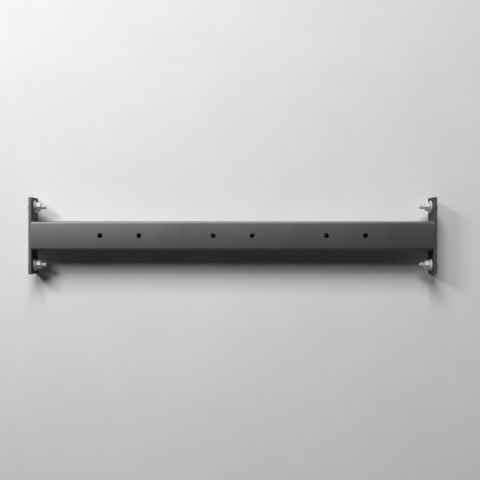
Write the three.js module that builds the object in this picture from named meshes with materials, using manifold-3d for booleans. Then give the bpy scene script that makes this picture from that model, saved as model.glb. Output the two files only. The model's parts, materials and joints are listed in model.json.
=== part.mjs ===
// A bolt-in crossbeam for pull-ups: a square steel tube welded between two flat end plates, with two bolts,
// their washers and a nut through each plate.
// Millimetres. +X runs along the tube, the front faces -Y, +Z is up. The origin is the tube's centre.

import * as THREE from 'three';
import { mergeVertices } from 'three/addons/utils/BufferGeometryUtils.js';
import Module from 'manifold-3d';

const wasm = await Module();
wasm.setup();

// ---- driving dimensions ----

const BEAM_LENGTH = 1084; // over the outer faces of the end plates
const TUBE_SIDE = 75;
const TUBE_WALL = 3;
const TUBE_CORNER = 5; // outside corner radius

const PLATE_THICKNESS = 8;
const PLATE_HEIGHT = 205;
const PLATE_DEPTH = TUBE_SIDE; // the plates are flush with the tube's front and back
const PLATE_BEVEL = 0.8;

const HOLE_DIAMETER = 13.5; // clearance for the thread below, in the tube and in the plates
const HOLE_PAIR_PITCH = 300; // from the middle of one pair to the middle of the next
const HOLE_PAIR_SPACING = 103.5; // between the two holes of a pair
const BOLT_SPACING = 156; // from the upper bolt to the lower one

const THREAD_DIAMETER = 12;
const THREAD_PITCH = 1.75;
const BOLT_LENGTH = 40; // under the head
const HEX_ACROSS_FLATS = 22; // the size of structural M12 bolts and nuts
const HEAD_HEIGHT = 7.5;
const NUT_HEIGHT = 10.8;
const WASHER_DIAMETER = 32;
const WASHER_BORE = 13;
const WASHER_THICKNESS = 3;
const WASHER_BEVEL = 0.4;
const LOCK_WASHER_DIAMETER = 21;
const LOCK_WASHER_BORE = 12.6;
const LOCK_WASHER_THICKNESS = 3;
const LOCK_WASHER_SPLIT = 2; // width of the cut

const WELD_LEG = 3;
const WELD_BULGE = 0.5; // how far the bead's face swells past a straight fillet

const TOUCH_GAP = 0.3; // between pieces that bear on each other
const RUNNING_GAP = 0.05; // radial play of the nut on its thread
const ROUND_SEGMENTS = 32;
const CORNER_SEGMENTS = 5;

// half length of the middle faces kept clear of the welds on the tube and of the bolts on a plate
const TUBE_CLEAR_HALF = 500;
const PLATE_CLEAR_HALF = 50;

// ---- worked out from those ----

const PLATE_INNER_X = BEAM_LENGTH / 2 - PLATE_THICKNESS;
const TUBE_LENGTH = 2 * (PLATE_INNER_X - TOUCH_GAP);
const HEX_CORNER_RADIUS = HEX_ACROSS_FLATS / Math.sqrt(3);
const THREAD_RADIUS = THREAD_DIAMETER / 2;

// places along a bolt, from the plate's inner face towards the middle of the beam
const WASHER_AT = TOUCH_GAP;
const LOCK_WASHER_AT = WASHER_AT + WASHER_THICKNESS + TOUCH_GAP;
const NUT_AT = LOCK_WASHER_AT + LOCK_WASHER_THICKNESS + TOUCH_GAP;
const UNDER_HEAD_AT = -PLATE_THICKNESS - TOUCH_GAP;

const ENDS = { left: -1, right: 1 };
const ROWS = { upper: 1, lower: -1 };

// the bead's corner, drawn for the upper left seam, turned about Y to the others
const WELD_TURN = {
  upper: { left: 0, right: -Math.PI / 2 },
  lower: { left: Math.PI / 2, right: Math.PI },
};

// ---- materials ----

const powderCoat = () => new THREE.MeshStandardMaterial({ color: 0x3a3b3c, roughness: 0.55, metalness: 0 });
const zincPlate = () => new THREE.MeshStandardMaterial({ color: 0xc3c6c8, roughness: 0.3, metalness: 1 });

// ---- joining and cutting ----

function toSolid(geometry) {
  const bare = geometry.clone();
  bare.deleteAttribute('normal');
  bare.deleteAttribute('uv');
  const merged = mergeVertices(bare, 1e-4);
  return new wasm.Manifold(
    new wasm.Mesh({
      numProp: 3,
      vertProperties: new Float32Array(merged.attributes.position.array),
      triVerts: new Uint32Array(merged.index.array),
    }),
  );
}

function toGeometry(solid) {
  const mesh = solid.getMesh();
  const geometry = new THREE.BufferGeometry();
  geometry.setAttribute('position', new THREE.BufferAttribute(mesh.vertProperties, mesh.numProp));
  geometry.setIndex(new THREE.BufferAttribute(mesh.triVerts, 1));
  geometry.computeVertexNormals();
  return geometry;
}

// the same solid, with faces of their own between two cuts across X
function withMiddleFaces(solid, half) {
  const left = solid.trimByPlane([-1, 0, 0], half).asOriginal();
  const middle = solid.trimByPlane([1, 0, 0], -half).trimByPlane([-1, 0, 0], -half).asOriginal();
  const right = solid.trimByPlane([1, 0, 0], half).asOriginal();
  return left.add(middle).add(right);
}

// ---- outlines ----

function roundedSquare(side, radius) {
  const half = side / 2;
  const inner = half - radius;
  const outline = new THREE.Path();
  outline.moveTo(half, -inner);
  outline.lineTo(half, inner);
  outline.absarc(inner, inner, radius, 0, Math.PI / 2);
  outline.lineTo(-inner, half);
  outline.absarc(-inner, inner, radius, Math.PI / 2, Math.PI);
  outline.lineTo(-half, -inner);
  outline.absarc(-inner, -inner, radius, Math.PI, 1.5 * Math.PI);
  outline.lineTo(inner, -half);
  outline.absarc(inner, -inner, radius, 1.5 * Math.PI, 2 * Math.PI);
  return outline.getPoints(CORNER_SEGMENTS);
}

// points round a circle whose polygon clears a shaft of this radius
function roundHole(x, y, radius) {
  const reach = radius / Math.cos(Math.PI / ROUND_SEGMENTS);
  const points = [];
  for (let i = 0; i < ROUND_SEGMENTS; i += 1) {
    const angle = (2 * Math.PI * i) / ROUND_SEGMENTS;
    points.push(new THREE.Vector2(x + reach * Math.cos(angle), y + reach * Math.sin(angle)));
  }
  return new THREE.Path(points);
}

// a hexagon with flats at +X and -X
function hexagon() {
  const points = [];
  for (let i = 0; i < 6; i += 1) {
    const angle = (Math.PI * (i + 0.5)) / 3;
    points.push(new THREE.Vector2(HEX_CORNER_RADIUS * Math.cos(angle), HEX_CORNER_RADIUS * Math.sin(angle)));
  }
  return new THREE.Shape(points);
}

function turned(profile) {
  const points = profile.map(([radius, height]) => new THREE.Vector2(radius, height));
  const geometry = new THREE.LatheGeometry(points, ROUND_SEGMENTS);
  geometry.rotateX(Math.PI / 2); // the lathe's axis becomes +Z
  return geometry;
}

// ---- the sub-parts' shapes; fasteners stand on z = 0 and rise along their own +Z ----

function tubeGeometry() {
  const section = new THREE.Shape(roundedSquare(TUBE_SIDE, TUBE_CORNER));
  section.holes.push(new THREE.Path(roundedSquare(TUBE_SIDE - 2 * TUBE_WALL, TUBE_CORNER - TUBE_WALL)));
  const blank = new THREE.ExtrudeGeometry(section, { depth: TUBE_LENGTH, bevelEnabled: false });
  blank.translate(0, 0, -TUBE_LENGTH / 2);
  blank.rotateY(Math.PI / 2);
  let tube = toSolid(blank);
  for (const pair of [-1, 0, 1]) {
    for (const side of [-0.5, 0.5]) {
      const drill = new THREE.CylinderGeometry(
        HOLE_DIAMETER / 2,
        HOLE_DIAMETER / 2,
        2 * TUBE_SIDE,
        ROUND_SEGMENTS,
      );
      drill.translate(pair * HOLE_PAIR_PITCH + side * HOLE_PAIR_SPACING, 0, 0);
      tube = tube.subtract(toSolid(drill));
    }
  }
  return toGeometry(withMiddleFaces(tube, TUBE_CLEAR_HALF));
}

function plateGeometry() {
  const halfHeight = PLATE_HEIGHT / 2;
  const halfDepth = PLATE_DEPTH / 2;
  const outline = new THREE.Shape([
    new THREE.Vector2(-halfHeight, -halfDepth),
    new THREE.Vector2(halfHeight, -halfDepth),
    new THREE.Vector2(halfHeight, halfDepth),
    new THREE.Vector2(-halfHeight, halfDepth),
  ]);
  for (const row of Object.values(ROWS)) {
    outline.holes.push(roundHole((row * BOLT_SPACING) / 2, 0, HOLE_DIAMETER / 2));
  }
  const geometry = new THREE.ExtrudeGeometry(outline, {
    depth: PLATE_THICKNESS - 2 * PLATE_BEVEL,
    bevelThickness: PLATE_BEVEL,
    bevelSize: PLATE_BEVEL,
    bevelOffset: -PLATE_BEVEL,
    bevelSegments: 2,
  });
  geometry.translate(0, 0, PLATE_BEVEL - PLATE_THICKNESS); // the inner face lies on z = 0
  return toGeometry(withMiddleFaces(toSolid(geometry), PLATE_CLEAR_HALF));
}

function weldGeometry() {
  const length = TUBE_SIDE - 2 * TUBE_CORNER;
  const bead = new THREE.Shape();
  const crown = WELD_LEG / 2 + WELD_BULGE;
  bead.moveTo(0, 0);
  bead.lineTo(WELD_LEG, 0);
  bead.quadraticCurveTo(crown, crown, 0, WELD_LEG);
  const geometry = new THREE.ExtrudeGeometry(bead, { depth: length, bevelEnabled: false, curveSegments: 4 });
  geometry.translate(0, 0, -length / 2);
  geometry.rotateX(Math.PI / 2);
  return geometry;
}

function washerGeometry() {
  const inner = WASHER_BORE / 2;
  const outer = WASHER_DIAMETER / 2;
  return turned([
    [inner, 0],
    [outer - WASHER_BEVEL, 0],
    [outer, WASHER_BEVEL],
    [outer, WASHER_THICKNESS - WASHER_BEVEL],
    [outer - WASHER_BEVEL, WASHER_THICKNESS],
    [inner, WASHER_THICKNESS],
    [inner, 0],
  ]);
}

function lockWasherGeometry() {
  const outer = LOCK_WASHER_DIAMETER / 2;
  const inner = LOCK_WASHER_BORE / 2;
  const outerStart = LOCK_WASHER_SPLIT / 2 / outer;
  const innerStart = LOCK_WASHER_SPLIT / 2 / inner;
  const ring = new THREE.Shape();
  ring.absarc(0, 0, outer, outerStart, 2 * Math.PI - outerStart);
  ring.absarc(0, 0, inner, 2 * Math.PI - innerStart, innerStart, true);
  return new THREE.ExtrudeGeometry(ring, {
    depth: LOCK_WASHER_THICKNESS,
    bevelEnabled: false,
    curveSegments: ROUND_SEGMENTS / 2,
  });
}

// a hexagonal block whose corners are turned off at the ends that are asked for
function hexBlock(height, turnedBottom, turnedTop, bore) {
  const outline = hexagon();
  if (bore > 0) {
    outline.holes.push(roundHole(0, 0, bore));
  }
  const block = toSolid(new THREE.ExtrudeGeometry(outline, { depth: height, bevelEnabled: false }));
  const face = 0.95 * (HEX_ACROSS_FLATS / 2);
  const reach = HEX_CORNER_RADIUS + 1;
  const drop = (reach - face) * Math.tan(Math.PI / 6);
  const envelope = turned([
    [0, 0],
    [turnedBottom ? face : reach, 0],
    [reach, turnedBottom ? drop : 0.5],
    [reach, turnedTop ? height - drop : height - 0.5],
    [turnedTop ? face : reach, height],
    [0, height],
  ]);
  return block.intersect(toSolid(envelope));
}

function boltGeometry() {
  const tip = THREAD_PITCH * 0.7;
  const overlap = 1;
  const shank = turned([
    [0, -overlap],
    [THREAD_RADIUS, -overlap],
    [THREAD_RADIUS, BOLT_LENGTH - tip],
    [THREAD_RADIUS - tip, BOLT_LENGTH],
    [0, BOLT_LENGTH],
  ]);
  const head = hexBlock(HEAD_HEIGHT, true, false, 0).translate([0, 0, -HEAD_HEIGHT]);
  return toGeometry(head.add(toSolid(shank)));
}

function nutGeometry() {
  return toGeometry(hexBlock(NUT_HEIGHT, true, true, THREAD_RADIUS + RUNNING_GAP));
}

// ---- assembly ----

const beam = new THREE.Group();

function addPiece(parent, name, geometry, material, along = 0) {
  const piece = new THREE.Mesh(geometry, material);
  piece.name = name;
  piece.position.z = along;
  parent.add(piece);
}

addPiece(beam, 'crossbeam_tube', tubeGeometry(), powderCoat());

for (const [end, side] of Object.entries(ENDS)) {
  // +Z of this group points from the plate's inner face to the middle of the beam
  const plateGroup = new THREE.Group();
  plateGroup.position.x = side * PLATE_INNER_X;
  plateGroup.rotation.y = (-side * Math.PI) / 2;
  beam.add(plateGroup);
  addPiece(plateGroup, `end_plate_${end}`, plateGeometry(), powderCoat());

  for (const [row, up] of Object.entries(ROWS)) {
    const boltGroup = new THREE.Group();
    boltGroup.position.x = (side * up * BOLT_SPACING) / 2;
    plateGroup.add(boltGroup);
    addPiece(boltGroup, `hex_bolt_${row}_${end}`, boltGeometry(), zincPlate(), UNDER_HEAD_AT);
    addPiece(boltGroup, `flat_washer_${row}_${end}`, washerGeometry(), zincPlate(), WASHER_AT);
    addPiece(boltGroup, `lock_washer_${row}_${end}`, lockWasherGeometry(), zincPlate(), LOCK_WASHER_AT);
    addPiece(boltGroup, `hex_nut_${row}_${end}`, nutGeometry(), zincPlate(), NUT_AT);

    const seam = new THREE.Group();
    seam.position.set(side * (PLATE_INNER_X - TOUCH_GAP), 0, up * (TUBE_SIDE / 2 + TOUCH_GAP));
    seam.rotation.y = WELD_TURN[row][end];
    beam.add(seam);
    addPiece(seam, `weld_${row}_${end}`, weldGeometry(), powderCoat());
  }
}

export default beam;
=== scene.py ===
"""A bolt-in crossbeam for pull-ups: a powder-coated steel tube welded between two end plates,
with zinc-plated bolts, washers and nuts. Metres. +X runs along the tube, the front faces -Y,
+Z is up, and the origin is the tube's centre."""

import json
import math

import bmesh
import bpy
from mathutils import Matrix, Vector


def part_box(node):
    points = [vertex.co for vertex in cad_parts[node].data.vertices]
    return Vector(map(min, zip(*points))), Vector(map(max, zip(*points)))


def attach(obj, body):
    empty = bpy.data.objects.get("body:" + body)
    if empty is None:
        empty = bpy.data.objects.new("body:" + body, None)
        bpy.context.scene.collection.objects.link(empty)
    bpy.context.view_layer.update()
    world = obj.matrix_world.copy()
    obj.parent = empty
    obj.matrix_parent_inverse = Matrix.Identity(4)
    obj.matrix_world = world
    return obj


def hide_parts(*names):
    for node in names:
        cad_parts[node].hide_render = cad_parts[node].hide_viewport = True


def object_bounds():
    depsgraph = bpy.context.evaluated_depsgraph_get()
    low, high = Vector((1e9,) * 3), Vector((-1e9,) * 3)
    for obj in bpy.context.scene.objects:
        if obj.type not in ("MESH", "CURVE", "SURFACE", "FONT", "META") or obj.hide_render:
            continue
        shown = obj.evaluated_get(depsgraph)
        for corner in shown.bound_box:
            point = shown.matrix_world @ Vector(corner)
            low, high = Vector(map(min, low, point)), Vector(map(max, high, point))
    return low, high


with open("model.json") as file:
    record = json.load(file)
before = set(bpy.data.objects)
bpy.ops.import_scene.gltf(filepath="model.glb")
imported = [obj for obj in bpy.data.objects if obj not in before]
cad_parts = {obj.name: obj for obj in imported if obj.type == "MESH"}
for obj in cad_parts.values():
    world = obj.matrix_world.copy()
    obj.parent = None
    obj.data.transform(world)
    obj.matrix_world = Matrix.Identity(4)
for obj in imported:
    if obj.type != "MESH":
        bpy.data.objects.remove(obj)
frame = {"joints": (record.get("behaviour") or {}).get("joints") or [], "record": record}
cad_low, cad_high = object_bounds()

MM = 0.001
QUARTER_TURN = math.pi / 2

# ---- sizes of the fine shapes; the large ones come from the frame ----

TUBE_WALL = 3 * MM
TUBE_CORNER = 5 * MM  # outside corner radius
TUBE_CROWN = 1.0 * MM  # how far the middle of each tube face stands out
TUBE_STRIPS = 12  # strips along each tube face, which carry the swell
HOLE_RADIUS = 6.75 * MM
RIM = 0.5 * MM  # softened edge of a drilled hole
PLATE_EDGE = 1.0 * MM  # softened edge of an end plate

THREAD_CREST = 6 * MM
THREAD_PITCH = 1.75 * MM
THREAD_DEPTH = 1.07 * MM
THREAD_PLAY = 0.12 * MM  # radial room between the nut's thread and the bolt's
THREAD_STEPS = 40  # facets in one turn
THREAD_PROFILE = (  # share of the pitch, share of the depth
    (0, 0), (0.125, 0), (0.4375, 1), (0.5625, 1), (0.875, 0), (1, 0))
TIP_CHAMFER = 1.3 * MM
HEX_CORNER = 22 * MM / math.sqrt(3)
HEX_CHAMFER_FACE = 10.5 * MM  # radius of the flat circle left on a chamfered hexagon
HEX_CHAMFER_SLOPE = math.radians(30)
HEX_EDGE = 0.35 * MM
CLEAR = 0.03 * MM  # left between pieces that bear on each other

WASHER_RADIUS = 16 * MM
WASHER_BORE = 6.5 * MM
LOCK_WASHER_RADIUS = 10.5 * MM
LOCK_WASHER_BORE = 6.3 * MM
LOCK_WASHER_SPLIT = math.radians(13)
LOCK_WASHER_RISE = 0.25 * MM  # how far one cut end stands above the other
LOCK_WASHER_SLANT = math.radians(25)  # lean of the cut
LOCK_WASHER_EDGE = 0.25 * MM

BEAD_SINK = 0.3 * MM  # how far a bead reaches past its node, down to the tube and the plate
BEAD_BULGE = 0.35 * MM
BEAD_BOW = 1.1 * MM  # how far the crown of each ripple leads its feet
BEAD_RIPPLE = 1.5 * MM
BEAD_END = 0.6  # size of a bead's two ends against its middle
BEAD_CREST = 1.1  # size of a ripple's crest against its feet

SHARP_EDGE = math.radians(50)  # an edge that turns by more than this is softened
SAME_POINT = 0.001 * MM  # points that lie closer than this count as one

NUT_JOINTS = [j for j in frame["joints"] if j["type"] == "hinge"]


# ---- hand work: selecting, editing, finishing ----

def deselect_all():
    if bpy.context.object and bpy.context.object.mode != "OBJECT":
        bpy.ops.object.mode_set(mode="OBJECT")
    bpy.ops.object.select_all(action="DESELECT")


def hold(piece):
    """Selects one piece alone and makes it the active one."""
    deselect_all()
    piece.select_set(True)
    bpy.context.view_layer.objects.active = piece


def edit(piece, mode, wanted):
    """Opens a piece in edit mode with only the vertices, edges or faces that pass the test selected."""
    hold(piece)
    bpy.context.tool_settings.mesh_select_mode = (mode == "VERT", mode == "EDGE", mode == "FACE")
    bpy.ops.object.mode_set(mode="EDIT")
    bpy.ops.mesh.select_all(action="DESELECT")
    form = bmesh.from_edit_mesh(piece.data)
    for element in {"VERT": form.verts, "EDGE": form.edges, "FACE": form.faces}[mode]:
        element.select_set(wanted(element))
    form.select_flush_mode()
    bmesh.update_edit_mesh(piece.data)


def close_edit():
    bpy.ops.object.mode_set(mode="OBJECT")


def new_piece(name):
    """Names the primitive that was just added and sets its place in its mesh."""
    piece = bpy.context.object
    piece.name = name
    piece.data.name = name
    hold(piece)
    bpy.ops.object.transform_apply(location=True, rotation=True, scale=True)
    return piece


def finish_with(piece, kind, **settings):
    modifier = piece.modifiers.new(kind.lower(), kind)
    for key, value in settings.items():
        setattr(modifier, key, value)
    hold(piece)
    bpy.ops.object.modifier_apply(modifier=modifier.name)


def combine(piece, other, operation):
    """Joins another piece to this one, or cuts it by the other, and throws the other away."""
    finish_with(piece, "BOOLEAN", object=other, operation=operation, solver="EXACT")
    bpy.data.objects.remove(other, do_unlink=True)


def soften(piece, width, segments):
    """Rounds every sharp edge of a piece."""
    finish_with(piece, "BEVEL", width=width, segments=segments, limit_method="ANGLE",
                angle_limit=SHARP_EDGE)


def tidy_normals(piece):
    """Merges doubled points and turns every face outwards."""
    edit(piece, "VERT", lambda v: True)
    bpy.ops.mesh.remove_doubles(threshold=SAME_POINT)
    bpy.ops.mesh.dissolve_degenerate(threshold=SAME_POINT)
    bpy.ops.mesh.select_all(action="SELECT")
    bpy.ops.mesh.normals_make_consistent(inside=False)
    close_edit()


def smooth(piece, angle=35):
    """Shades a piece smooth, with a crease where it turns by more than the angle, in degrees."""
    hold(piece)
    bpy.ops.object.shade_smooth_by_angle(angle=math.radians(angle))
    finish_with(piece, "WEIGHTED_NORMAL", keep_sharp=True, weight=60)


def copy_to(master, name, place):
    """A copy of a finished piece with its own mesh, moved by a matrix that ends up in the mesh."""
    mesh = master.data.copy()
    mesh.name = name
    mesh.transform(place)
    piece = bpy.data.objects.new(name, mesh)
    bpy.context.scene.collection.objects.link(piece)
    return piece


def section(name, points):
    """A closed outline in the XZ plane, with a corner at each (x, z) or (x, z, y) point."""
    bpy.ops.mesh.primitive_circle_add(vertices=len(points), radius=MM, fill_type="NGON")
    piece = new_piece(name)
    for vertex, point in zip(piece.data.vertices, points):
        x, z, y = (*point, 0)[:3]
        vertex.co = (x, y, z)
    return piece


def turned(name, points, steps=96):
    """A solid of revolution about Z from its half section, as (radius, height) points."""
    piece = section(name, points)
    edit(piece, "FACE", lambda f: True)
    bpy.ops.mesh.delete(type="ONLY_FACE")
    close_edit()
    edit(piece, "EDGE", lambda e: all(abs(v.co.x) < SAME_POINT for v in e.verts))
    bpy.ops.mesh.delete(type="EDGE")
    bpy.ops.mesh.select_all(action="SELECT")
    bpy.ops.mesh.spin(steps=steps, angle=2 * math.pi, center=(0, 0, 0), axis=(0, 0, 1))
    close_edit()
    tidy_normals(piece)
    return piece


def drill(radius, length, centre, axis, sides=64):
    turn = Vector((0, 0, 1)).rotation_difference(Vector(axis)).to_euler()
    bpy.ops.mesh.primitive_cylinder_add(
        vertices=sides, radius=radius, depth=length, location=centre, rotation=turn)
    return new_piece("drill")


# ---- tube ----

def make_tube():
    """A rolled tube with rounded corners, faces that swell a little, an even wall and six cross holes."""
    low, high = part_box("crossbeam_tube")
    side = high.z - low.z
    # the tube covers the plates' softened edge, as a ground weld does
    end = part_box("end_plate_right")[0].x + 1.2 * PLATE_EDGE
    bpy.ops.mesh.primitive_cube_add(size=1, scale=(2 * end, side, side))
    tube = new_piece("crossbeam_tube_coated")

    edit(tube, "EDGE", lambda e: abs(e.verts[0].co.x - e.verts[1].co.x) > end)
    bpy.ops.mesh.bevel(offset=TUBE_CORNER, segments=8, affect="EDGES")
    close_edit()

    for strip in range(1, TUBE_STRIPS):
        height = (strip / TUBE_STRIPS - 0.5) * (side - 2 * TUBE_CORNER)
        for direction in ((0, 0, 1), (0, 1, 0)):
            edit(tube, "FACE", lambda f: True)
            bpy.ops.mesh.bisect(plane_co=Vector(direction) * height, plane_no=direction)
            close_edit()

    half_flat = side / 2 - TUBE_CORNER
    in_plane = 0.01 * MM
    for vertex in tube.data.vertices:
        for out, across in ((1, 2), (2, 1)):
            if abs(abs(vertex.co[out]) - side / 2) < in_plane:
                swell = TUBE_CROWN * max(0, 1 - (vertex.co[across] / half_flat) ** 2)
                vertex.co[out] += math.copysign(swell, vertex.co[out])

    edit(tube, "FACE", lambda f: abs(f.normal.x) > 0.9)
    bpy.ops.mesh.delete(type="FACE")
    close_edit()
    finish_with(tube, "SOLIDIFY", thickness=TUBE_WALL, offset=-1, use_even_offset=True)

    for opening in frame["record"]["physics"]["openings"]:
        near, far = (Vector(corner) for corner in opening["box_m"])
        combine(tube, drill(HOLE_RADIUS, 2 * side, (near + far) / 2, (0, 1, 0)), "DIFFERENCE")
    soften(tube, RIM, 3)
    smooth(tube)
    return tube


# ---- end plates ----

def make_plate():
    """The left plate; the right one is the same plate turned half round."""
    low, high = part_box("end_plate_left")
    bpy.ops.mesh.primitive_cube_add(size=1, location=(low + high) / 2, scale=high - low)
    plate = new_piece("end_plate_master")
    for joint in NUT_JOINTS:
        hole = Vector(joint["pos_m"])
        if hole.x < 0:
            combine(plate, drill(HOLE_RADIUS, 4 * (high.x - low.x), hole, (1, 0, 0)), "DIFFERENCE")
    soften(plate, PLATE_EDGE, 4)
    smooth(plate)
    return plate


# ---- weld beads ----

def make_bead():
    """A fillet of overlapping ripples in the upper corner between the tube and the left plate."""
    low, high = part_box("weld_upper_left")
    leg = high.z - low.z + BEAD_SINK

    facets = 8
    outline = [(0, 0, 0)]
    for facet in range(facets + 1):
        angle = QUARTER_TURN * facet / facets
        reach = leg / (math.cos(angle) + math.sin(angle)) + BEAD_BULGE * math.sin(2 * angle)
        outline.append((reach * math.cos(angle), reach * math.sin(angle), BEAD_BOW * math.sin(2 * angle)))
    bead = section("weld_master", outline)

    def resize(size):
        bpy.ops.transform.resize(value=(size, 1, size), center_override=(0, 0, 0))

    def step(share, size):
        """Carries the section on by a share of a ripple's length, then resizes it."""
        bpy.ops.mesh.extrude_region_move(TRANSFORM_OT_translate={"value": (0, share * BEAD_RIPPLE, 0)})
        resize(size)

    ripples = round((high.y - low.y - 2 * BEAD_BOW) / BEAD_RIPPLE)
    edit(bead, "FACE", lambda f: True)
    bpy.ops.transform.translate(value=(0, -ripples * BEAD_RIPPLE / 2, 0))
    resize(BEAD_END)
    step(0.3, 1 / BEAD_END)
    for _ in range(ripples - 1):
        step(0.35, BEAD_CREST)
        step(0.4, 1.0)
        step(0.25, 1 / BEAD_CREST)
    step(0.3, BEAD_END)
    close_edit()

    bead.data.transform(Matrix.Translation((low.x - BEAD_SINK, 0, low.z - BEAD_SINK)))
    tidy_normals(bead)
    smooth(bead, angle=60)
    return bead


# ---- threads, hexagons and rings; each stands on its bolt's axis, z = 0 at the plate's inner face ----

def thread(crest, low, high):
    """A threaded rod from below low to above high, whose turns are counted from z = 0."""
    spare = 2  # turns beyond each end
    first = math.floor(low / THREAD_PITCH) - spare
    turns = math.ceil(high / THREAD_PITCH) + spare - first
    bpy.ops.mesh.primitive_plane_add(size=THREAD_PITCH, rotation=(QUARTER_TURN, 0, 0))
    rod = new_piece("thread")
    edit(rod, "VERT", lambda v: v.co.x < 0)
    bpy.ops.mesh.delete(type="VERT")
    bpy.ops.mesh.select_all(action="SELECT")
    bpy.ops.mesh.subdivide(number_cuts=len(THREAD_PROFILE) - 2)
    close_edit()
    points = sorted(rod.data.vertices, key=lambda v: v.co.z)
    for vertex, (rise, out) in zip(points, THREAD_PROFILE):
        vertex.co = (crest - THREAD_DEPTH * (1 - out), 0, (first + rise) * THREAD_PITCH)
    finish_with(rod, "SCREW", angle=2 * math.pi, screw_offset=THREAD_PITCH, iterations=turns,
                steps=THREAD_STEPS, render_steps=THREAD_STEPS, axis="Z")
    tidy_normals(rod)

    # all that is open at the foot lies under the first height, and at the top over the second
    ends = ((first + 1.5, -1), (first + turns - 0.5, 1))
    for limit, way in ends:
        edit(rod, "EDGE", lambda e: e.is_boundary and all(
            way * (v.co.z - limit * THREAD_PITCH) > 0 for v in e.verts))
        bpy.ops.mesh.extrude_region_move(
            TRANSFORM_OT_translate={"value": (0, 0, 2 * way * THREAD_PITCH)})
        bpy.ops.mesh.merge(type="CENTER")
        close_edit()
    tidy_normals(rod)
    return rod


def hexagon_block(name, low, high, chamfer_low, chamfer_high):
    """A hexagon from low to high, with flats at +X and -X, and a turned chamfer at either end or both."""
    bpy.ops.mesh.primitive_cylinder_add(
        vertices=6, radius=HEX_CORNER, depth=high - low, location=(0, 0, (low + high) / 2))
    block = new_piece(name)
    edit(block, "EDGE", lambda e: abs(e.verts[0].co.z - e.verts[1].co.z) > MM)
    bpy.ops.mesh.bevel(offset=HEX_EDGE, segments=3, affect="EDGES")
    close_edit()

    margin = MM
    reach = HEX_CORNER + margin
    drop = (reach - HEX_CHAMFER_FACE) * math.tan(HEX_CHAMFER_SLOPE)
    if chamfer_low:
        profile = [(0, low), (HEX_CHAMFER_FACE, low), (reach, low + drop)]
    else:
        profile = [(0, low - margin), (reach, low - margin)]
    if chamfer_high:
        profile += [(reach, high - drop), (HEX_CHAMFER_FACE, high), (0, high)]
    else:
        profile += [(reach, high + margin), (0, high + margin)]
    combine(block, turned("hexagon_envelope", profile), "INTERSECT")
    return block


def make_bolt(under_head, head_top, tip):
    """Along the axis: head_top < under_head < 0 < tip."""
    margin = 0.3 * MM
    reach = THREAD_CREST + margin
    rod = thread(THREAD_CREST, under_head, tip)
    blank = turned("rod_blank", [
        (0, under_head - MM), (reach, under_head - MM), (reach, tip - TIP_CHAMFER - margin),
        (reach - TIP_CHAMFER - margin, tip), (0, tip)])
    combine(rod, blank, "INTERSECT")
    head = hexagon_block("hex_bolt_master", head_top, under_head, True, False)
    combine(head, rod, "UNION")
    tidy_normals(head)
    smooth(head, angle=32)
    return head


def make_nut(low, high):
    nut = hexagon_block("hex_nut_master", low, high, True, True)
    combine(nut, thread(THREAD_CREST + THREAD_PLAY, low, high), "DIFFERENCE")
    mouth = THREAD_CREST + 0.5 * MM
    slope = 2 * MM
    for face, inward in ((low, 1), (high, -1)):
        countersink = turned("countersink", [
            (0, face - inward * slope), (mouth + slope, face - inward * slope),
            (mouth - slope, face + inward * slope), (0, face + inward * slope)])
        combine(nut, countersink, "DIFFERENCE")
    tidy_normals(nut)
    smooth(nut, angle=32)
    return nut


def make_washer(low, high):
    edge = 0.45 * MM
    burr = 0.2 * MM
    washer = turned("flat_washer_master", [
        (WASHER_BORE + burr, low), (WASHER_RADIUS - burr, low), (WASHER_RADIUS, low + burr),
        (WASHER_RADIUS, high - edge), (WASHER_RADIUS - 0.3 * edge, high - 0.3 * edge),
        (WASHER_RADIUS - edge, high), (WASHER_BORE + edge, high), (WASHER_BORE, high - edge),
        (WASHER_BORE, low + burr)], steps=128)
    smooth(washer)
    return washer


def make_lock_washer(low, high):
    """A spring ring of nearly square section, cut through on the slant, its ends a little out of line."""
    thickness = high - low - LOCK_WASHER_RISE
    ring = section("lock_washer_master", [
        (LOCK_WASHER_BORE, low), (LOCK_WASHER_RADIUS, low),
        (LOCK_WASHER_RADIUS, low + thickness), (LOCK_WASHER_BORE, low + thickness)])
    edit(ring, "FACE", lambda f: True)
    bpy.ops.mesh.delete(type="ONLY_FACE")
    close_edit()
    finish_with(ring, "SCREW", angle=2 * math.pi - LOCK_WASHER_SPLIT, screw_offset=LOCK_WASHER_RISE,
                steps=90, render_steps=90, axis="Z")
    for first_end in (True, False):
        edit(ring, "EDGE", lambda e: e.is_boundary and all(
            (abs(v.co.y) < SAME_POINT) == first_end for v in e.verts))
        bpy.ops.mesh.edge_face_add()
        close_edit()
    for vertex in ring.data.vertices:
        lean = (vertex.co.z - low) * math.tan(LOCK_WASHER_SLANT) / vertex.co.to_2d().length
        vertex.co = Matrix.Rotation(lean, 3, "Z") @ vertex.co
    tidy_normals(ring)
    soften(ring, LOCK_WASHER_EDGE, 3)
    smooth(ring)
    return ring


# ---- shader groups ----

def group(name, inputs, outputs):
    """An empty shader node group; inputs are (name, default), outputs are (name, socket type)."""
    tree = bpy.data.node_groups.new(name, "ShaderNodeTree")
    for label, default in inputs:
        socket = tree.interface.new_socket(label, in_out="INPUT", socket_type="NodeSocketFloat")
        socket.default_value = default
    for label, kind in outputs:
        tree.interface.new_socket(label, in_out="OUTPUT", socket_type=kind)
    return tree, tree.nodes.new("NodeGroupInput"), tree.nodes.new("NodeGroupOutput")


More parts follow.
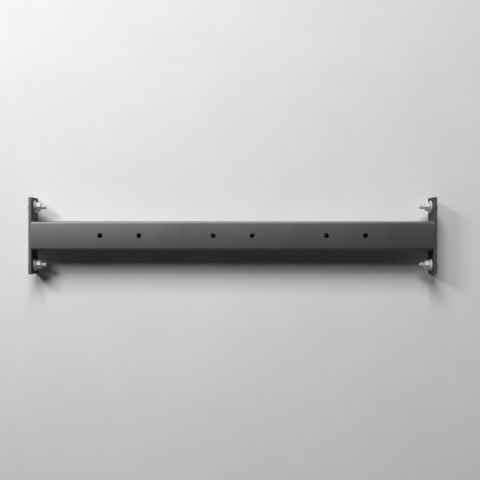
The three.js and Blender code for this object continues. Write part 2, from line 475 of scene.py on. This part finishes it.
def node(tree, kind, settings=None, **links):
    """Adds a node. settings are its properties; links set its inputs, by name or by place as i0, i1
    and so on, to a value or another socket."""
    made = tree.nodes.new("ShaderNode" + kind)
    for key, value in (settings or {}).items():
        setattr(made, key, value)
    for label, value in links.items():
        by_place = label[0] == "i" and label[1:].isdigit()
        socket = made.inputs[int(label[1:]) if by_place else label]
        if isinstance(value, bpy.types.NodeSocket):
            tree.links.new(value, socket)
        else:
            socket.default_value = value
    return made


def math_node(tree, operation, *values, clamp=False):
    made = node(tree, "Math", {"operation": operation, "use_clamp": clamp},
                **{f"i{i}": value for i, value in enumerate(values)})
    return made.outputs[0]


def make_grain():
    """Fine bumps and broad blotches. Grain and Blotch are per metre."""
    tree, given, result = group(
        "surface_grain", [("Grain", 900.0), ("Blotch", 14.0)],
        [("Height", "NodeSocketFloat"), ("Shade", "NodeSocketFloat")])
    place = node(tree, "TexCoord").outputs["Object"]
    fine = node(tree, "TexNoise", Vector=place, Scale=given.outputs["Grain"], Detail=3.0, Roughness=0.55)
    broad = node(tree, "TexNoise", Vector=place, Scale=given.outputs["Blotch"], Detail=4.0, Roughness=0.6)
    tree.links.new(fine.outputs["Fac"], result.inputs["Height"])
    tree.links.new(broad.outputs["Fac"], result.inputs["Shade"])
    return tree


def make_edge_wear():
    """A mask that is 1 on worn edges. Width is in metres."""
    tree, given, result = group(
        "edge_wear", [("Width", 0.8 * MM), ("Amount", 1.0)], [("Mask", "NodeSocketFloat")])
    rounded = node(tree, "Bevel", {"samples": 6}, Radius=given.outputs["Width"])
    true_normal = node(tree, "NewGeometry").outputs["Normal"]
    alike = node(tree, "VectorMath", {"operation": "DOT_PRODUCT"},
                 i0=rounded.outputs["Normal"], i1=true_normal)
    turn = math_node(tree, "SUBTRACT", 1.0, alike.outputs["Value"])
    sharp = math_node(tree, "MULTIPLY", turn, 9.0, clamp=True)
    place = node(tree, "TexCoord").outputs["Object"]
    patchy = node(tree, "TexNoise", Vector=place, Scale=160.0, Detail=5.0, Roughness=0.7)
    broken = node(tree, "MapRange", Value=patchy.outputs["Fac"], **{"From Min": 0.35, "From Max": 0.7})
    worn = math_node(tree, "MULTIPLY", sharp, broken.outputs["Result"])
    mask = math_node(tree, "MULTIPLY", worn, given.outputs["Amount"], clamp=True)
    tree.links.new(mask, result.inputs["Mask"])
    return tree


def make_dust():
    """A mask of fine dust that settles on what faces up."""
    tree, given, result = group("settled_dust", [("Amount", 0.2)], [("Mask", "NodeSocketFloat")])
    facing = node(tree, "SeparateXYZ", Vector=node(tree, "NewGeometry").outputs["Normal"]).outputs["Z"]
    up = node(tree, "MapRange", Value=facing, **{"From Min": 0.3, "From Max": 1.0})
    place = node(tree, "TexCoord").outputs["Object"]
    speckle = node(tree, "TexNoise", Vector=place, Scale=420.0, Detail=6.0, Roughness=0.75)
    drift = node(tree, "TexNoise", Vector=place, Scale=9.0, Detail=3.0)
    both = math_node(tree, "MULTIPLY", speckle.outputs["Fac"], drift.outputs["Fac"])
    lying = math_node(tree, "MULTIPLY", up.outputs["Result"], math_node(tree, "MULTIPLY", both, 3.0))
    mask = math_node(tree, "MULTIPLY", lying, given.outputs["Amount"], clamp=True)
    tree.links.new(mask, result.inputs["Mask"])
    return tree


GROUPS = {"grain": make_grain(), "edge_wear": make_edge_wear(), "dust": make_dust()}


def use_group(tree, name, **values):
    placed = tree.nodes.new("ShaderNodeGroup")
    placed.node_tree = GROUPS[name]
    for label, value in values.items():
        placed.inputs[label].default_value = value
    return placed


def blended(tree, factor, low, high):
    """A colour between two others."""
    mix = tree.nodes.new("ShaderNodeMix")
    mix.data_type = "RGBA"
    tree.links.new(factor, mix.inputs["Factor"])
    for label, value in (("A", low), ("B", high)):
        socket = next(s for s in mix.inputs if s.name == label and s.type == "RGBA")
        if isinstance(value, bpy.types.NodeSocket):
            tree.links.new(value, socket)
        else:
            socket.default_value = (*value, 1.0)
    return next(s for s in mix.outputs if s.type == "RGBA")


def ranged(tree, value, low, high, out_low, out_high):
    """Carries what runs from low to high over to run from out_low to out_high."""
    made = node(tree, "MapRange", Value=value, **{
        "From Min": low, "From Max": high, "To Min": out_low, "To Max": out_high})
    return made.outputs["Result"]


def stretched(tree, noise, low, high):
    """Stretches a noise, most of which lies between 0.3 and 0.7, to run from low to high."""
    return ranged(tree, noise, 0.3, 0.7, low, high)


# ---- materials ----

FLAKE_EDGE_ON = (0.12, 0.12, 0.12, 1)
WORN_COAT = (0.3, 0.3, 0.305)
DUST = (0.36, 0.35, 0.34)
RUBBED_ZINC = (0.7, 0.71, 0.72)
SCALE_GREY = (0.03, 0.032, 0.036)
SCALE_BROWN = (0.09, 0.075, 0.06)


def new_material(name):
    material = bpy.data.materials.new(name)
    material.use_nodes = True
    return material, material.node_tree, material.node_tree.nodes["Principled BSDF"]


def powder_coat(name, dark, light, rough, grain_size, grain_depth, wear, dust):
    """Satin metallic powder coat: fine orange peel, slight tone drift, worn edges, a little dust."""
    material, tree, shader = new_material(name)
    shader.inputs["Metallic"].default_value = 0.95
    # the flake lies flat in the coat, which is dark when seen edge-on
    shader.inputs["Specular Tint"].default_value = FLAKE_EDGE_ON
    grain = use_group(tree, "grain", Grain=1 / grain_size, Blotch=11.0)
    edges = use_group(tree, "edge_wear", Width=1.2 * MM, Amount=wear)
    settled = use_group(tree, "dust", Amount=dust)
    tone = stretched(tree, grain.outputs["Shade"], 0.0, 1.0)
    colour = blended(tree, tone, dark, light)
    colour = blended(tree, edges.outputs["Mask"], colour, WORN_COAT)
    colour = blended(tree, settled.outputs["Mask"], colour, DUST)
    tree.links.new(colour, shader.inputs["Base Color"])
    gloss = stretched(tree, grain.outputs["Height"], rough - 0.05, rough + 0.05)
    dulling = math_node(tree, "MULTIPLY", settled.outputs["Mask"], 0.3)
    dulled = math_node(tree, "ADD", gloss, dulling, clamp=True)
    tree.links.new(dulled, shader.inputs["Roughness"])
    bump = node(tree, "Bump", Strength=1.0, Distance=grain_depth, Height=grain.outputs["Height"])
    tree.links.new(bump.outputs["Normal"], shader.inputs["Normal"])
    return material


def zinc_plate(name, rough, tint):
    """Zinc over turned or pressed steel: cool silver, faintly clouded, with a fine brushed tooth."""
    material, tree, shader = new_material(name)
    shader.inputs["Metallic"].default_value = 0.2
    grain = use_group(tree, "grain", Grain=2600.0, Blotch=170.0)
    edges = use_group(tree, "edge_wear", Width=0.5 * MM, Amount=0.6)
    tone = stretched(tree, grain.outputs["Shade"], 0.0, 1.0)
    colour = blended(tree, tone, tint, tuple(c * 1.12 for c in tint))
    colour = blended(tree, edges.outputs["Mask"], colour, RUBBED_ZINC)
    tree.links.new(colour, shader.inputs["Base Color"])
    cloud = stretched(tree, grain.outputs["Shade"], rough - 0.06, rough + 0.1)
    tree.links.new(cloud, shader.inputs["Roughness"])
    bump = node(tree, "Bump", Strength=0.6, Distance=0.012 * MM, Height=grain.outputs["Height"])
    tree.links.new(bump.outputs["Normal"], shader.inputs["Normal"])
    return material


def mill_scale():
    """The tube's unpainted inside."""
    material, tree, shader = new_material("mill_scale")
    grain = use_group(tree, "grain", Grain=500.0, Blotch=40.0)
    colour = blended(tree, grain.outputs["Shade"], SCALE_GREY, SCALE_BROWN)
    tree.links.new(colour, shader.inputs["Base Color"])
    dull = stretched(tree, grain.outputs["Height"], 0.5, 0.75)
    tree.links.new(dull, shader.inputs["Roughness"])
    return material


COAT = powder_coat(
    "charcoal_powder_coat", dark=(0.162, 0.164, 0.167), light=(0.188, 0.19, 0.193), rough=0.52,
    grain_size=0.9 * MM, grain_depth=0.02 * MM, wear=0.3, dust=0.05)
BEAD_COAT = powder_coat(
    "powder_coat_over_weld", dark=(0.155, 0.157, 0.16), light=(0.18, 0.182, 0.185), rough=0.54,
    grain_size=0.5 * MM, grain_depth=0.03 * MM, wear=0.15, dust=0.05)
ZINC = zinc_plate("zinc_plated_steel", rough=0.5, tint=(0.59, 0.6, 0.61))
SPRING_ZINC = zinc_plate("zinc_plated_spring_steel", rough=0.5, tint=(0.53, 0.54, 0.55))
INSIDE = mill_scale()


# ---- the pieces in place ----

def place_piece(piece, body, node_name, material):
    piece.data.materials.clear()
    piece.data.materials.append(material)
    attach(piece, body)
    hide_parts(node_name)


def paint_inside(tube):
    """Gives the bare finish to the faces of the tube's wall that look inwards."""
    tube.data.materials.append(INSIDE)
    low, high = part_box("crossbeam_tube")
    inner = (high.z - low.z) / 2 - 0.6 * TUBE_WALL
    for face in tube.data.polygons:
        if max(abs(face.center.y), abs(face.center.z)) < inner:
            face.material_index = 1


tube = make_tube()
place_piece(tube, "frame", "crossbeam_tube", COAT)
paint_inside(tube)

HALF_TURNS = {  # what carries a piece of the upper left corner to each corner
    "upper_left": Matrix.Identity(4),
    "lower_left": Matrix.Rotation(math.pi, 4, "X"),
    "upper_right": Matrix.Rotation(math.pi, 4, "Z"),
    "lower_right": Matrix.Rotation(math.pi, 4, "Y"),
}

plate_master = make_plate()
for end in ("left", "right"):
    plate = copy_to(plate_master, f"end_plate_{end}_coated", HALF_TURNS[f"upper_{end}"])
    place_piece(plate, "frame", f"end_plate_{end}", COAT)

bead_master = make_bead()
for where, half_turn in HALF_TURNS.items():
    bead = copy_to(bead_master, f"weld_{where}_bead", half_turn)
    place_piece(bead, "frame", f"weld_{where}", BEAD_COAT)

for master in (plate_master, bead_master):
    bpy.data.objects.remove(master, do_unlink=True)


def span_along(node_name, joint):
    """A node's extent along its bolt's axis, counted from the plate's inner face."""
    start, axis = Vector(joint["pos_m"]), Vector(joint["axis"])
    ends = sorted((corner - start).dot(axis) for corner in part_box(node_name))
    return ends[0], ends[1]


first = NUT_JOINTS[0]
where = first["name"].removeprefix("nut_turn_")
head_top, tip = span_along(f"hex_bolt_{where}", first)
plate_back = span_along("end_plate_left", first)[0]
washer_low, washer_high = span_along(f"flat_washer_{where}", first)
lock_low, lock_high = span_along(f"lock_washer_{where}", first)
nut_low, nut_high = span_along(f"hex_nut_{where}", first)

MASTERS = {
    "hex_bolt": (make_bolt(plate_back - CLEAR, head_top, tip), "frame", ZINC),
    "flat_washer": (make_washer(CLEAR, lock_low - CLEAR), "washers", ZINC),
    "lock_washer": (make_lock_washer(lock_low, nut_low - CLEAR), "washers", SPRING_ZINC),
    "hex_nut": (make_nut(nut_low, nut_high), "nut", ZINC),
}
SPLIT_AT = {  # where each lock washer is split, in degrees round its bolt
    "upper_left": 70, "lower_left": 205, "upper_right": 310, "lower_right": 140}

for joint in NUT_JOINTS:
    where = joint["name"].removeprefix("nut_turn_")
    side = math.copysign(1, joint["axis"][0])
    stand = Matrix.Translation(joint["pos_m"]) @ Matrix.Rotation(side * QUARTER_TURN, 4, "Y")
    for kind, (master, body, material) in MASTERS.items():
        turn = math.radians(SPLIT_AT[where]) if kind == "lock_washer" else 0
        piece = copy_to(master, f"{kind}_{where}_zinc", stand @ Matrix.Rotation(turn, 4, "Z"))
        rides_on = body if body == "frame" else f"{body}_{where}"
        place_piece(piece, rides_on, f"{kind}_{where}", material)

for master, _, _ in MASTERS.values():
    bpy.data.objects.remove(master, do_unlink=True)


# ---- backdrop and floor ----

WALL_GAP = 3 * MM  # between the plates' back edges and the wall
WALL_SIDE = 7
FLOOR_HEIGHT = -1.3
FLOOR_SIDE = 26
FLOOR_TO_BOUNCES = (0.05, 0.05, 0.05, 1)


def see_through_from_behind(tree, shader):
    """The wall is solid to what strikes its front, and lets light and the view from behind it pass."""
    clear = node(tree, "BsdfTransparent")
    behind = node(tree, "NewGeometry").outputs["Backfacing"]
    shadow = node(tree, "LightPath").outputs["Is Shadow Ray"]
    passes = math_node(tree, "MAXIMUM", behind, shadow)
    mix = node(tree, "MixShader", i0=passes, i1=shader.outputs["BSDF"], i2=clear.outputs["BSDF"])
    tree.links.new(mix.outputs["Shader"], tree.nodes["Material Output"].inputs["Surface"])


def dark_to_bounces(tree, shader):
    """The floor is pale to look at but throws little light up on the beam."""
    dark = node(tree, "BsdfDiffuse", Color=FLOOR_TO_BOUNCES)
    path = node(tree, "LightPath")
    bounce = math_node(tree, "MAXIMUM", path.outputs["Is Diffuse Ray"], path.outputs["Is Glossy Ray"])
    mix = node(tree, "MixShader", i0=bounce, i1=shader.outputs["BSDF"], i2=dark.outputs["BSDF"])
    tree.links.new(mix.outputs["Shader"], tree.nodes["Material Output"].inputs["Surface"])


def plaster(name, colour, finish):
    material, tree, shader = new_material(name)
    grain = use_group(tree, "grain", Grain=60.0, Blotch=5.0)
    tone = stretched(tree, grain.outputs["Shade"], 0.0, 1.0)
    lighter = tuple(min(1, c * 1.04) for c in colour)
    tree.links.new(blended(tree, tone, colour, lighter), shader.inputs["Base Color"])
    shader.inputs["Roughness"].default_value = 0.9
    shader.inputs["Specular IOR Level"].default_value = 0.2
    finish(tree, shader)
    return material


deselect_all()
bpy.ops.mesh.primitive_plane_add(
    size=WALL_SIDE, location=(0, cad_high.y + WALL_GAP, FLOOR_HEIGHT + WALL_SIDE / 2),
    rotation=(QUARTER_TURN, 0, 0))
wall = new_piece("backdrop_wall")
wall.data.materials.append(plaster("pale_wall", (0.84, 0.84, 0.845), see_through_from_behind))
deselect_all()
bpy.ops.mesh.primitive_plane_add(size=FLOOR_SIDE, location=(0, 0, FLOOR_HEIGHT))
floor = new_piece("floor")
floor.data.materials.append(plaster("pale_floor", (0.72, 0.72, 0.72), dark_to_bounces))


# ---- light ----

def softbox(name, power, width, height, location, target, spread):
    """A rectangular lamp that looks at the target, with its spread in degrees."""
    lamp = bpy.data.lights.new(name, "AREA")
    lamp.shape = "RECTANGLE"
    lamp.energy = power
    lamp.size = width
    lamp.size_y = height
    lamp.spread = math.radians(spread)
    box = bpy.data.objects.new(name, lamp)
    box.location = location
    box.rotation_euler = (Vector(target) - Vector(location)).to_track_quat("-Z", "Y").to_euler()
    bpy.context.scene.collection.objects.link(box)
    return box


softbox("left_softbox", power=13, width=0.9, height=0.6,
        location=(-1.8, -2.0, 1.3), target=(-0.3, 0, 0.25), spread=120)
softbox("top_softbox", power=98, width=2.4, height=1.9,
        location=(-0.6, -3.4, 3.95), target=(-0.15, 0, 0.4), spread=120)
sheen_card = softbox("sheen_card", power=8, width=0.7, height=0.5,
                     location=(-1.7, -1.8, 1.4), target=(-0.3, 0, 0.1), spread=100)
sheen_card.visible_diffuse = False  # shows only in reflections

# square to the beam, so it lights the back and not the plates' inner faces
sun = bpy.data.lights.new("back_sun", "SUN")
sun.energy = 1.3
sun.angle = math.radians(12)
back_sun = bpy.data.objects.new("back_sun", sun)
back_sun.rotation_euler = Vector((0, -1, -0.8)).to_track_quat("-Z", "Y").to_euler()
bpy.context.scene.collection.objects.link(back_sun)

WORLD_AS_LIGHT = 0.02
WORLD_AS_SEEN = 0.6
world = bpy.data.worlds.new("studio")
world.use_nodes = True
background = world.node_tree.nodes["Background"]
background.inputs["Color"].default_value = (0.8, 0.8, 0.8, 1)
seen = node(world.node_tree, "LightPath").outputs["Is Camera Ray"]
strength = ranged(world.node_tree, seen, 0.0, 1.0, WORLD_AS_LIGHT, WORLD_AS_SEEN)
world.node_tree.links.new(strength, background.inputs["Strength"])
bpy.context.scene.world = world
bpy.context.scene.view_settings.view_transform = "Standard"


# ---- camera ----

CAMERA_FROM_FACE = 2.297  # in front of the tube's front face
CAMERA_X = 0.0193
CAMERA_Z = -0.0114

lens = bpy.data.cameras.new("camera")
lens.sensor_width = 36
lens.lens = 65
camera = bpy.data.objects.new("camera", lens)
camera.location = (CAMERA_X, cad_low.y - CAMERA_FROM_FACE, CAMERA_Z)
camera.rotation_euler = (QUARTER_TURN, 0, 0)
bpy.context.scene.collection.objects.link(camera)
bpy.context.scene.camera = camera
